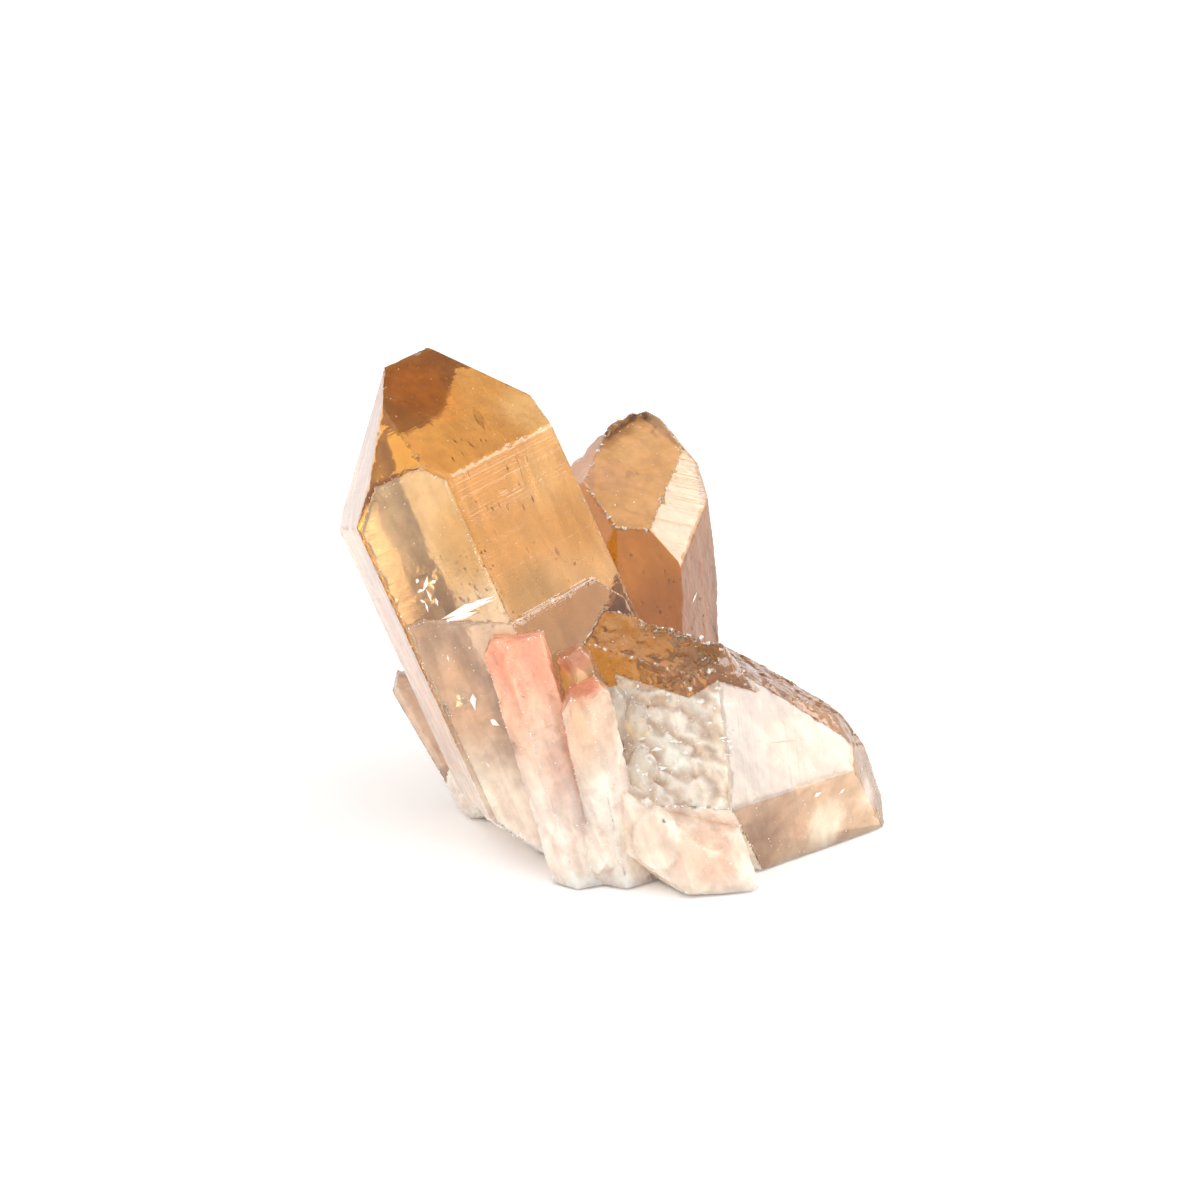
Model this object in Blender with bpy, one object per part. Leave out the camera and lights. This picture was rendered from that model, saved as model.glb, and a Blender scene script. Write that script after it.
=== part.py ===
"""Citrine specimen: a small cluster of quartz crystals grown together on a milky root.

Units are metres. +Z is up. The origin is the middle of the flat underside that the cluster rests on.
The front, which shows the broad faces of the leaning crystal, looks along -Y.
"""

import math
import random

import bmesh
import bpy
from mathutils import Matrix, Vector

MM = 0.001

# The middle of the cluster's outline, seen from above, in the layout below.
MIDDLE = (1.5, 4.9)

# Quartz: a cap face's normal stands this far from the crystal's long axis.
CAP_SLOPE = math.radians(51.8)
# The side of the raw block that each crystal is cut from.
BLOCK = 240.0
# How far a crystal's prism runs on below its foot, into the root.
ROOT_DEPTH = 14.0

# Each crystal, in millimetres and degrees.
# foot is where its axis meets the ground, or a point on the axis of a lying crystal.
# lean is from the vertical, towards heading (0 is +X, 90 is +Y), and twist turns it about its axis.
# sides are the six prism faces' distances from the axis.
# caps are the heights above foot where the six cap faces would cross the axis.
CRYSTALS = {
    "main": dict(
        foot=(0.6, -5.9, 0.0), lean=27.5, heading=152.5, twist=45.5,
        sides=(11.9, 11.5, 9.7, 12.4, 11.0, 10.2),
        caps=(57.2, 60.3, 55.6, 62.5, 64.3, 56.5),
        breaks=(((-8.7, -4.6, 0.0), (-0.52, -0.28, -0.80)),),
    ),
    "main_step": dict(
        foot=(0.6, -5.9, 0.0), lean=27.5, heading=152.5, twist=45.5,
        sides=(11.4, 12.1, 9.9, 11.8, 10.5, 9.7),
        caps=(45.0, 45.6, 39.0, 38.0, 40.0, 42.0),
        facets=((92, 40.0, 37.0),),
        breaks=(((-8.4, -4.4, 0.0), (-0.52, -0.28, -0.80)),),
        root=12.0,
    ),
    "main_plate": dict(
        foot=(0.6, -5.9, 0.0), lean=27.5, heading=152.5, twist=45.5,
        sides=(11.6, 11.9, 9.4, 12.1, 10.7, 9.9),
        caps=(56.3, 59.8, 54.9, 61.7, 63.6, 55.8),
        facets=((52.1, 40.5, 55.7), (99.4, 56.2, 61.5), (110.0, 87.8, 337.0)),
        root=-20.0,
    ),
    "second": dict(
        foot=(4.5, 0.2, 0.0), lean=33.0, heading=90.0, twist=8.8,
        sides=(8.0, 8.0, 8.0, 8.9, 7.2, 8.8),
        caps=(62.0, 50.4, 46.5, 41.3, 47.4, 52.6),
        facets=((210, 65.6, 46.5), (270, 80.6, 82.4)),
    ),
    "lying": dict(
        foot=(21.8, -6.1, 14.4), lean=81.5, heading=-2.0, twist=49.5,
        sides=(13.0, 8.0, 8.1, 8.0, 30.0, 30.0),
        caps=(30.0, 8.6, 1.9, 1.9, 10.5, 30.0),
        facets=((187, 12.7, 4.4), (153, 45.5, 1.2), (133, 29.0, 2.4)),
        breaks=(((13.7, -20.0, 9.1), (-0.12, -0.86, -0.50)),),
        root=19.0,
    ),
    "front_pink": dict(
        foot=(-1.8, -16.6, 0.0), lean=19.0, heading=151.0, twist=24.0,
        sides=(2.9, 3.1, 2.8, 3.5, 3.0, 2.9),
        caps=(29.5, 31.0, 30.0, 31.0, 30.5, 29.5),
        facets=((185, 14.0, 27.2),),
    ),
    "front_blunt": dict(
        foot=(2.9, -16.7, 0.0), lean=13.0, heading=157.0, twist=30.0,
        sides=(3.2, 2.9, 2.5, 2.4, 2.6, 2.5),
        caps=(23.5, 24.5, 24.0, 23.6, 24.6, 24.0),
        facets=((40, 10.0, 21.6),),
    ),
    "valley_ridge": dict(
        foot=(3.0, -4.2, 20.6), lean=100.5, heading=-19.0, twist=30.0,
        sides=(4.0, 3.8, 3.6, 3.9, 4.8, 4.5),
        caps=(15.0, 15.6, 14.6, 15.2, 14.8, 15.4), root=4.0,
    ),
    "valley_shard": dict(
        foot=(6.2, -13.0, 0.0), lean=9.0, heading=165.0, twist=14.0,
        sides=(1.5, 1.3, 1.4, 1.5, 1.4, 1.3),
        caps=(18.6, 18.2, 18.9, 18.4, 18.7, 18.1),
    ),
    "valley_green": dict(
        foot=(2.1, -12.8, 0.0), lean=12.0, heading=168.0, twist=10.0,
        sides=(1.8, 1.9, 1.8, 1.7, 1.9, 1.8),
        caps=(26.0, 26.6, 26.0, 25.6, 26.2, 26.0),
        facets=((0, 14.0, 24.4),),
    ),
    "valley_clear": dict(
        foot=(3.2, -13.1, 0.0), lean=6.0, heading=151.0, twist=20.0,
        sides=(1.3, 1.2, 1.3, 1.2, 1.3, 1.2),
        caps=(20.6, 20.2, 20.8, 20.4, 20.6, 20.2),
    ),
    "valley_low": dict(
        foot=(5.5, -15.4, 0.0), lean=6.0, heading=177.0, twist=5.0,
        sides=(2.0, 1.9, 2.1, 2.0, 1.9, 2.0),
        caps=(14.6, 15.0, 14.6, 15.2, 14.4, 14.8),
    ),
    "front_plate": dict(
        foot=(5.6, -15.6, 5.4), lean=115.0, heading=-25.0, twist=20.0,
        sides=(4.4, 4.0, 4.6, 4.2, 4.0, 4.4),
        caps=(13.0, 14.5, 14.0, 13.5, 12.5, 13.0),
    ),
    "left_back": dict(
        foot=(-14.8, 2.0, 2.0), lean=44.0, heading=137.0, twist=12.0,
        sides=(1.6, 1.4, 1.5, 1.6, 1.4, 1.5),
        caps=(16.0, 15.6, 16.4, 15.8, 16.0, 15.6), root=3.0,
    ),
}

# Broken lumps of the milky root: the middle, the three half sizes and the number of the facet pattern.
LUMPS = (
    ((2.0, -5.0, 5.0), (13.0, 12.0, 9.0), 1),
    ((1.0, -13.0, 3.0), (7.0, 6.5, 8.0), 2),
    ((5.0, 6.0, 4.0), (10.0, 9.0, 7.0), 5),
    ((-10.5, 3.0, 3.0), (7.0, 7.0, 6.0), 4),
    ((6.5, -2.5, 16.0), (5.5, 4.5, 6.0), 6),
)

# Chips knocked out of the edges: the crystal, the scoop's middle in that crystal's own axes, and its size.
CHIPS = (
    ("main", (-5.6, -4.2, 55.8), 0.9),
    ("main", (-12.5, -2.0, 47.2), 0.7),
    ("main", (-12.6, -5.8, 46.6), 1.0),
    ("second", (5.2, -0.7, 48.0), 1.0),
    ("second", (4.3, 1.4, 46.9), 0.9),
    ("second", (3.2, 4.0, 44.6), 0.8),
    ("second", (3.0, 6.4, 41.8), 0.7),
    ("second", (8.0, -3.0, 43.8), 0.8),
    ("second", (8.2, -5.7, 29.0), 1.3),
    ("lying", (-8.0, 4.2, -9.5), 1.0),
    ("lying", (5.8, -0.8, 5.2), 0.9),
    ("valley_ridge", (-3.7, 2.2, 2.0), 1.3),
    ("valley_ridge", (-3.6, 2.0, 5.2), 0.9),
    ("valley_ridge", (-3.3, 2.3, 8.4), 1.1),
)


def axes(lean, heading, twist):
    """The turn that stands a crystal's own Z axis along its lean."""
    return (
        Matrix.Rotation(math.radians(heading), 4, "Z")
        @ Matrix.Rotation(math.radians(lean), 4, "Y")
        @ Matrix.Rotation(math.radians(twist), 4, "Z")
    )


def standing(spec):
    """From a crystal's own axes to its place in the cluster."""
    turn = axes(spec["lean"], spec["heading"], spec["twist"])
    return Matrix.Translation(Vector(spec["foot"]) * MM) @ turn


def new_collection(name, guide=False):
    made = bpy.data.collections.new(name)
    bpy.context.scene.collection.children.link(made)
    made.hide_render = guide
    return made


def slice_off(bm, point, normal):
    """Cuts everything beyond the plane away and closes the cut with one face."""
    cut = bmesh.ops.bisect_plane(
        bm, geom=bm.verts[:] + bm.edges[:] + bm.faces[:], dist=1e-7,
        plane_co=point, plane_no=normal, clear_outer=True,
    )
    rim = [e for e in cut["geom_cut"] if isinstance(e, bmesh.types.BMEdge)]
    if rim:
        bmesh.ops.contextual_create(bm, geom=rim)


def to_object(bm, name, collection, parent, matrix):
    bmesh.ops.recalc_face_normals(bm, faces=bm.faces[:])
    mesh = bpy.data.meshes.new(name)
    bm.to_mesh(mesh)
    bm.free()
    obj = bpy.data.objects.new(name, mesh)
    collection.objects.link(obj)
    obj.parent = parent
    obj.matrix_local = matrix
    return obj


def crystal(name, collection, parent, spec):
    """A six-sided prism with six cap faces, cut from a block in its own axes, then stood in place."""
    bm = bmesh.new()
    bmesh.ops.create_cube(bm, size=BLOCK * MM)
    root = spec.get("root", ROOT_DEPTH)
    slice_off(bm, Vector((0, 0, -root * MM)), Vector((0, 0, -1)))
    for i in range(6):
        turn = math.radians(60 * i)
        out = Vector((math.cos(turn), math.sin(turn), 0))
        slice_off(bm, out * spec["sides"][i] * MM, out)
        cap = out * math.sin(CAP_SLOPE) + Vector((0, 0, math.cos(CAP_SLOPE)))
        slice_off(bm, Vector((0, 0, spec["caps"][i] * MM)), cap)
    for turn, slope, height in spec.get("facets", ()):
        turn, slope = math.radians(turn), math.radians(slope)
        out = Vector((math.cos(turn), math.sin(turn), 0))
        facet = out * math.sin(slope) + Vector((0, 0, math.cos(slope)))
        slice_off(bm, Vector((0, 0, height * MM)), facet)
    place = standing(spec)
    back = place.inverted()
    for point, normal in spec.get("breaks", ()):
        slice_off(bm, back @ (Vector(point) * MM), back.to_3x3() @ Vector(normal))
    return to_object(bm, name, collection, parent, place)


def lump(name, collection, parent, middle, half, pattern):
    """A ball that is broken down to flat facets by cuts at seeded directions."""
    rng = random.Random(pattern)
    bm = bmesh.new()
    bmesh.ops.create_icosphere(bm, subdivisions=2, radius=1.0)
    for _ in range(16):
        out = Vector([rng.gauss(0, 1) for _ in range(3)]).normalized()
        slice_off(bm, out * rng.uniform(0.74, 0.94), out)
    bmesh.ops.scale(bm, vec=Vector(half) * MM, verts=bm.verts[:])
    return to_object(bm, name, collection, parent, Matrix.Translation(Vector(middle) * MM))


def chip(name, collection, parent, grown_on, middle, size, pattern):
    """A small faceted scoop that knocks a chip out of an edge."""
    rng = random.Random(pattern)
    bm = bmesh.new()
    bmesh.ops.create_icosphere(bm, subdivisions=1, radius=size * MM)
    stretch = Vector([rng.uniform(0.7, 1.3) for _ in range(3)])
    bmesh.ops.scale(bm, vec=stretch, verts=bm.verts[:])
    turn = Matrix.Rotation(rng.uniform(0, 6.28), 4, Vector((0.3, 0.5, 0.8)))
    place = standing(CRYSTALS[grown_on]) @ Matrix.Translation(Vector(middle) * MM)
    return to_object(bm, name, collection, parent, place @ turn)


def ground_block(collection, parent):
    """Everything below the resting plane, which is sawn off flat."""
    bm = bmesh.new()
    bmesh.ops.create_cube(bm, size=BLOCK * MM)
    return to_object(
        bm, "ground_cut", collection, parent, Matrix.Translation((0, 0, -0.5 * BLOCK * MM))
    )


def boolean(obj, other, operation):
    mod = obj.modifiers.new(f"{operation.lower()}_{other.name}", "BOOLEAN")
    mod.operation = operation
    mod.solver = "EXACT"
    mod.object = other


def citrine():
    mat = bpy.data.materials.new("citrine")
    mat.use_nodes = True
    shader = mat.node_tree.nodes["Principled BSDF"]
    shader.inputs["Base Color"].default_value = (0.72, 0.42, 0.16, 1)
    shader.inputs["Roughness"].default_value = 0.06
    shader.inputs["Metallic"].default_value = 0.0
    shader.inputs["IOR"].default_value = 1.544
    shader.inputs["Transmission Weight"].default_value = 1.0
    return mat


def main():
    for old in list(bpy.data.objects):
        bpy.data.objects.remove(old)
    shown = new_collection("citrine_specimen")
    guides = new_collection("grown_together", guide=True)
    base = bpy.data.objects.new("resting_middle", None)
    shown.objects.link(base)
    base.location = (-MIDDLE[0] * MM, -MIDDLE[1] * MM, 0)

    names = list(CRYSTALS)
    cluster = crystal("citrine_cluster", shown, base, CRYSTALS[names[0]])
    cluster.data.materials.append(citrine())
    grown = [crystal(name, guides, base, CRYSTALS[name]) for name in names[1:]]
    grown += [
        lump(f"root_{n}", guides, base, *LUMPS[n]) for n in range(len(LUMPS))
    ]
    for piece in grown:
        boolean(cluster, piece, "UNION")
    chips = [
        chip(f"chip_{n}", guides, base, *CHIPS[n], n) for n in range(len(CHIPS))
    ]
    for scoop in chips:
        boolean(cluster, scoop, "DIFFERENCE")
    ground = ground_block(guides, base)
    boolean(cluster, ground, "DIFFERENCE")
    for guide in grown + chips + [ground]:
        guide.hide_render = True
        guide.display_type = "WIRE"


main()
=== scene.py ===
"""Citrine specimen: clear honey-coloured quartz crystals on a milky root, on a white studio floor."""

import math
import random

import bmesh
import bpy
import numpy as np
from mathutils import Matrix, Vector, kdtree, noise


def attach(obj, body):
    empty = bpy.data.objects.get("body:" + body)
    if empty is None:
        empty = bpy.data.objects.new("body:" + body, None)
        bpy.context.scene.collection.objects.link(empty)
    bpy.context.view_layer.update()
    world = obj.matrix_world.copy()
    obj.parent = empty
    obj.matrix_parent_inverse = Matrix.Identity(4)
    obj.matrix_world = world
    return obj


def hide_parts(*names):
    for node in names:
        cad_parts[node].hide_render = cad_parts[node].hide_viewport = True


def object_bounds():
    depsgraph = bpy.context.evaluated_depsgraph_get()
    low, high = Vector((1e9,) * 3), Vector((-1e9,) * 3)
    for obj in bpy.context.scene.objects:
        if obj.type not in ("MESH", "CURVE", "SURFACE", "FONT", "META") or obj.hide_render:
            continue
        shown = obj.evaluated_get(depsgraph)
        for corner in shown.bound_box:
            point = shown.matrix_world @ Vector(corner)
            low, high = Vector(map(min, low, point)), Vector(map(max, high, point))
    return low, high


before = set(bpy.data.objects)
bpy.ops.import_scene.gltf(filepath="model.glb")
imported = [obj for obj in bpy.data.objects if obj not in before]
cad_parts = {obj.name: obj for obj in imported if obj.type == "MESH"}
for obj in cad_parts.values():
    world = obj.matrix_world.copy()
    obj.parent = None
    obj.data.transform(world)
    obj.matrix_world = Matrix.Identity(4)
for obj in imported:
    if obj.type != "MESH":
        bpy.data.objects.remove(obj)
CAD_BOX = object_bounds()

MM = 0.001
# The cluster's own layout puts its origin here, beside the middle of the resting outline.
MIDDLE = Vector((1.5, 4.9, 0.0))
CAP_SLOPE = math.radians(51.8)

# The crystals' places, in millimetres and degrees, as the CAD source gives them.
CRYSTALS = {
    "main": dict(
        foot=(0.6, -5.9, 0.0), lean=27.5, heading=152.5, twist=45.5,
        sides=(11.9, 11.5, 9.7, 12.4, 11.0, 10.2), caps=(57.2, 60.3, 55.6, 62.5, 64.3, 56.5),
    ),
    "main_step": dict(
        foot=(0.6, -5.9, 0.0), lean=27.5, heading=152.5, twist=45.5,
        sides=(11.4, 12.1, 9.9, 11.8, 10.5, 9.7), caps=(45.0, 45.6, 39.0, 38.0, 40.0, 42.0),
        facets=((92, 40.0, 37.0),),
    ),
    "main_plate": dict(
        foot=(0.6, -5.9, 0.0), lean=27.5, heading=152.5, twist=45.5,
        sides=(11.6, 11.9, 9.4, 12.1, 10.7, 9.9), caps=(56.3, 59.8, 54.9, 61.7, 63.6, 55.8),
        facets=((52.1, 40.5, 55.7), (99.4, 56.2, 61.5), (110.0, 87.8, 337.0)),
    ),
    "second": dict(
        foot=(4.5, 0.2, 0.0), lean=33.0, heading=90.0, twist=8.8,
        sides=(8.0, 8.0, 8.0, 8.9, 7.2, 8.8), caps=(62.0, 50.4, 46.5, 41.3, 47.4, 52.6),
        facets=((210, 65.6, 46.5), (270, 80.6, 82.4)),
    ),
    "lying": dict(
        foot=(21.8, -6.1, 14.4), lean=81.5, heading=-2.0, twist=49.5,
        sides=(13.0, 8.0, 8.1, 8.0, 30.0, 30.0), caps=(30.0, 8.6, 1.9, 1.9, 10.5, 30.0),
        facets=((187, 12.7, 4.4), (153, 45.5, 1.2), (133, 29.0, 2.4)),
    ),
    "front_pink": dict(
        foot=(-1.8, -16.6, 0.0), lean=19.0, heading=151.0, twist=24.0,
        sides=(2.9, 3.1, 2.8, 3.5, 3.0, 2.9), caps=(29.5, 31.0, 30.0, 31.0, 30.5, 29.5),
        facets=((185, 14.0, 27.2),),
    ),
    "front_blunt": dict(
        foot=(2.9, -16.7, 0.0), lean=13.0, heading=157.0, twist=30.0,
        sides=(3.2, 2.9, 2.5, 2.4, 2.6, 2.5), caps=(23.5, 24.5, 24.0, 23.6, 24.6, 24.0),
        facets=((40, 10.0, 21.6),),
    ),
    "valley_ridge": dict(
        foot=(3.0, -4.2, 20.6), lean=100.5, heading=-19.0, twist=30.0,
        sides=(4.0, 3.8, 3.6, 3.9, 4.8, 4.5), caps=(15.0, 15.6, 14.6, 15.2, 14.8, 15.4),
    ),
    "valley_shard": dict(
        foot=(6.2, -13.0, 0.0), lean=9.0, heading=165.0, twist=14.0,
        sides=(1.5, 1.3, 1.4, 1.5, 1.4, 1.3), caps=(18.6, 18.2, 18.9, 18.4, 18.7, 18.1),
    ),
    "valley_green": dict(
        foot=(2.1, -12.8, 0.0), lean=12.0, heading=168.0, twist=10.0,
        sides=(1.8, 1.9, 1.8, 1.7, 1.9, 1.8), caps=(26.0, 26.6, 26.0, 25.6, 26.2, 26.0),
        facets=((0, 14.0, 24.4),),
    ),
    "valley_clear": dict(
        foot=(3.2, -13.1, 0.0), lean=6.0, heading=151.0, twist=20.0,
        sides=(1.3, 1.2, 1.3, 1.2, 1.3, 1.2), caps=(20.6, 20.2, 20.8, 20.4, 20.6, 20.2),
    ),
    "valley_low": dict(
        foot=(5.5, -15.4, 0.0), lean=6.0, heading=177.0, twist=5.0,
        sides=(2.0, 1.9, 2.1, 2.0, 1.9, 2.0), caps=(14.6, 15.0, 14.6, 15.2, 14.4, 14.8),
    ),
    "front_plate": dict(
        foot=(5.6, -15.6, 5.4), lean=115.0, heading=-25.0, twist=20.0,
        sides=(4.4, 4.0, 4.6, 4.2, 4.0, 4.4), caps=(13.0, 14.5, 14.0, 13.5, 12.5, 13.0),
    ),
    "left_back": dict(
        foot=(-14.8, 2.0, 2.0), lean=44.0, heading=137.0, twist=12.0,
        sides=(1.6, 1.4, 1.5, 1.6, 1.4, 1.5), caps=(16.0, 15.6, 16.4, 15.8, 16.0, 15.6),
    ),
}
NAMES = list(CRYSTALS)
ROOT = len(NAMES)
CUT = ROOT + 1
FISSURE = ROOT + 2
SIDE, CAP, FACET, SCOOP = 0, 10, 20, 30

# The unlit part of the studio, up and behind, which keeps the upper faces' colour deep.
DARK_SKY = (0.2, 0.5, 0.84)
# The floor lies just below the resting face, so that the two don't share one plane.
FLOOR_HEIGHT = -0.3 * MM
# The longest edges left in the fine mesh, near the crystals' edges and on their wide flat faces.
FINE = 0.5 * MM
WIDE = 1.2 * MM
# Two faces that turn by more than this, in radians, meet at an edge that can be chipped.
SHARP = 0.3


# Cracks inside the clear quartz, in millimetres: the middle, the way it faces, its long way and its half sizes.
FISSURES = (
    ((-17.9, -7.5, 29.3), (0.46, -0.70, 0.55), (0.2, 0.6, 0.8), 1.0, 1.5),
    ((-18.6, -6.6, 31.0), (0.30, -0.75, 0.60), (0.9, 0.3, 0.2), 0.7, 1.1),
    ((-17.0, -6.9, 30.6), (0.60, -0.60, 0.50), (0.1, 0.7, 0.6), 0.6, 0.9),
    ((-19.0, -7.6, 28.0), (0.55, -0.72, 0.40), (0.3, 0.5, 0.8), 0.7, 1.2),
    ((-17.6, -6.0, 27.4), (0.35, -0.60, 0.72), (0.9, 0.2, 0.3), 0.6, 0.8),
    ((-13.9, -7.6, 26.5), (0.46, -0.70, 0.55), (7.8, 3.7, 1.9), 0.9, 4.1),
    ((-9.8, 3.6, 38.0), (0.70, -0.60, 0.30), (-0.4, 0.2, 0.9), 0.8, 3.4),
    ((-13.4, 4.6, 42.5), (0.50, -0.80, 0.20), (-0.4, 0.3, 0.9), 0.6, 2.6),
    ((-14.6, -8.0, 17.4), (0.50, -0.50, 0.70), (0.5, 0.8, 0.1), 1.2, 2.0),
    ((-12.0, -6.6, 14.0), (-0.30, -0.60, 0.75), (0.9, 0.1, 0.4), 1.3, 2.2),
    ((3.6, 20.2, 32.0), (0.50, -0.20, 0.80), (0.7, 0.6, -0.3), 0.8, 1.3),
    ((2.4, 22.0, 33.6), (-0.30, -0.50, 0.80), (0.9, 0.2, 0.3), 0.7, 1.2),
    ((8.6, -11.2, 13.4), (0.30, -0.60, 0.70), (0.8, 0.4, 0.3), 1.4, 2.4),
    ((5.8, -9.4, 14.8), (-0.40, -0.40, 0.80), (0.7, -0.6, 0.2), 1.1, 1.9),
    ((11.4, -10.6, 15.4), (0.70, -0.20, 0.60), (0.2, 0.9, 0.1), 0.9, 2.0),
    ((17.4, -7.3, 13.6), (0.20, -0.50, 0.80), (0.9, 0.2, -0.1), 1.0, 3.2),
    ((21.0, -8.0, 10.0), (0.60, -0.60, 0.40), (0.6, 0.7, 0.2), 1.0, 2.0),
)


def standing(spec):
    """From a crystal's own axes, in millimetres, to its place in metres."""
    turn = (
        Matrix.Rotation(math.radians(spec["heading"]), 4, "Z")
        @ Matrix.Rotation(math.radians(spec["lean"]), 4, "Y")
        @ Matrix.Rotation(math.radians(spec["twist"]), 4, "Z")
    )
    return Matrix.Scale(MM, 4) @ Matrix.Translation(Vector(spec["foot"]) - MIDDLE) @ turn


def flat_faces(spec):
    """The crystal's planes in its own axes: the kind, the normal and the distance from the foot."""
    found = []
    for k in range(6):
        turn = math.radians(60 * k)
        out = Vector((math.cos(turn), math.sin(turn), 0))
        found.append((SIDE + k, out, spec["sides"][k]))
        cap = out * math.sin(CAP_SLOPE) + Vector((0, 0, math.cos(CAP_SLOPE)))
        found.append((CAP + k, cap, spec["caps"][k] * cap.z))
    for n, (turn, slope, height) in enumerate(spec.get("facets", ())):
        turn, slope = math.radians(turn), math.radians(slope)
        normal = Vector((math.cos(turn) * math.sin(slope), math.sin(turn) * math.sin(slope), math.cos(slope)))
        found.append((FACET + n, normal, height * normal.z))
    return found


def outside(planes, p):
    """How far a place lies outside a crystal's planes, in millimetres, and below 0 inside."""
    return max(out.dot(p) - away for _, out, away in planes)


def smooth(low, high, x):
    """Rises from 0 at low to 1 at high, or falls where high is the lower one."""
    t = np.clip((x - low) / (high - low), 0, 1)
    return t * t * (3 - 2 * t)


def name_faces(bm):
    """Marks each CAD triangle with the crystal and the flat face that it lies on."""
    owner = bm.faces.layers.int.new("owner")
    kind = bm.faces.layers.int.new("kind")
    places = []
    for name in NAMES:
        place = standing(CRYSTALS[name])
        places.append((place.inverted(), flat_faces(CRYSTALS[name])))
    for face in bm.faces:
        middle, normal = face.calc_center_median(), face.normal
        face[owner], face[kind] = ROOT, 0
        if normal.z < -0.99 and middle.z < 0.02 * MM:
            face[owner] = CUT
            continue
        high = max(middle.z - 12 * MM, middle.x - 16 * MM) > 0
        best = 0.12
        for n, (back, planes) in enumerate(places):
            p = back @ middle
            if high and face[owner] == ROOT and outside(planes, p) < -0.02:
                face[owner], face[kind] = n, SCOOP
            v = (back.to_3x3() @ normal).normalized()
            for which, out, away in planes:
                miss = abs(out.dot(p) - away)
                if out.dot(v) > 0.9995 and miss < best:
                    best = miss
                    face[owner], face[kind] = n, which


def split_long_edges(bm):
    """Halves long edges until none is left: fine along the crystals' edges and on rugged faces, wider elsewhere."""
    owner = bm.faces.layers.int["owner"]
    kind = bm.faces.layers.int["kind"]
    for e in bm.edges:
        e.seam = e.calc_face_angle(0.0) > SHARP
    limits = {
        (f[owner], f[kind]): FINE if face_look(f[owner], f[kind])["rugged"] > 0.08 else WIDE for f in bm.faces
    }
    for turn in range(9):
        for v in bm.verts:
            v.tag = False
        for e in bm.edges:
            if e.seam:
                e.verts[0].tag = e.verts[1].tag = True
        long_edges = []
        for e in bm.edges:
            f = e.link_faces[0]
            limit = FINE if e.verts[0].tag or e.verts[1].tag else limits[f[owner], f[kind]]
            if e.calc_length() > limit:
                long_edges.append(e)
        if not long_edges:
            break
        bmesh.ops.subdivide_edges(bm, edges=long_edges, cuts=1)
        bmesh.ops.triangulate(bm, faces=[f for f in bm.faces if len(f.verts) > 3])
        inner = [e for e in bm.edges if not e.seam and e.calc_face_angle(1.0) < 0.003]
        bmesh.ops.beautify_fill(bm, faces=bm.faces[:], edges=inner, method="ANGLE")


def averaged(bm, values):
    """Spreads a number for each face to its corners' vertices."""
    found = np.zeros(len(bm.verts))
    for v in bm.verts:
        found[v.index] = sum(values[f.index] for f in v.link_faces) / max(1, len(v.link_faces))
    return found


def fracture(p, cell, shift):
    """A broken surface: flat splinters, each tilted its own way, as a height from -1 to 1."""
    _, points = noise.voronoi(p / cell + shift)
    tilt = noise.noise_vector(points[0] * 5.3 + shift)
    return max(-1.0, min(1.0, 2.4 * tilt.dot(p / cell + shift - points[0]) + 0.6 * tilt.x))


def shell_step(p):
    """The oval scar on the front plate, which stands a little proud with a sharp rim."""
    away = p - Vector((4.4, -24.8, 5.6))
    oval = math.hypot(away.x / 2.6, away.z / 3.3)
    return 0.0 if p.y > -22.5 else 0.5 * float(smooth(1.0, 0.84, oval))


# The centre that the curved steps of the lying crystal's broken left face spread from, and the step's width.
RIPPLES = Vector((2.0, -25.0, 8.0))
RIPPLE_STEP = 2.4


def ripple_turns(p):
    """How many of the uneven curved steps lie between their centre and this place."""
    return (p - RIPPLES).length / RIPPLE_STEP + 1.1 * noise.noise(p * 0.2) + 0.5 * noise.noise(p * 0.7)


def ripples(p):
    """Curved steps of a shell-like break on the lying crystal's left face."""
    if p.x < 2.5 or p.x > 9.5 or p.z < 8.5 or p.y > -15.0:
        return 0.0
    fade = float(smooth(9.5, 8.0, p.x) * smooth(8.5, 10.0, p.z))
    return 0.5 * fade * (ripple_turns(p) % 1.0 - 0.5)


def relief(bm):
    """Moves the fine mesh's vertices: chipped edges, gently uneven faces and a broken root."""
    owner = bm.faces.layers.int["owner"]
    kind = bm.faces.layers.int["kind"]
    bm.normal_update()
    bm.verts.index_update()
    bm.faces.index_update()
    rough = averaged(bm, [face_look(f[owner], f[kind])["rugged"] for f in bm.faces])
    moves = []
    for v in bm.verts:
        p = v.co / MM
        if p.z < 0.05:
            moves.append(Vector())
            continue
        sharp = max((e.calc_face_angle(0.0) for e in v.link_edges), default=0.0)
        wavy = 0.02 * noise.noise(p * 0.22)
        broken = rough[v.index] * (
            0.65 * fracture(p, 3.1, Vector((3.1, 7.7, 1.9)))
            + 0.25 * fracture(p, 1.3, Vector((8.3, 2.2, 5.4)))
            + 0.25 * noise.noise(p * 1.1)
            - 0.35
        )
        worn = 0.0
        if sharp > 0.35:
            worn = 0.03 + 0.55 * max(0.0, noise.noise(p * 0.9 + Vector((5, 1, 8))) - 0.12)
            worn += 0.25 * max(0.0, noise.noise(p * 2.3) - 0.1)
        moves.append(v.normal * (wavy + broken - worn + shell_step(p) + ripples(p) * (rough[v.index] > 0.1)))
    for v, move in zip(bm.verts, moves):
        v.co += move * MM
        v.co.z = max(v.co.z, 0.0)


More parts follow.
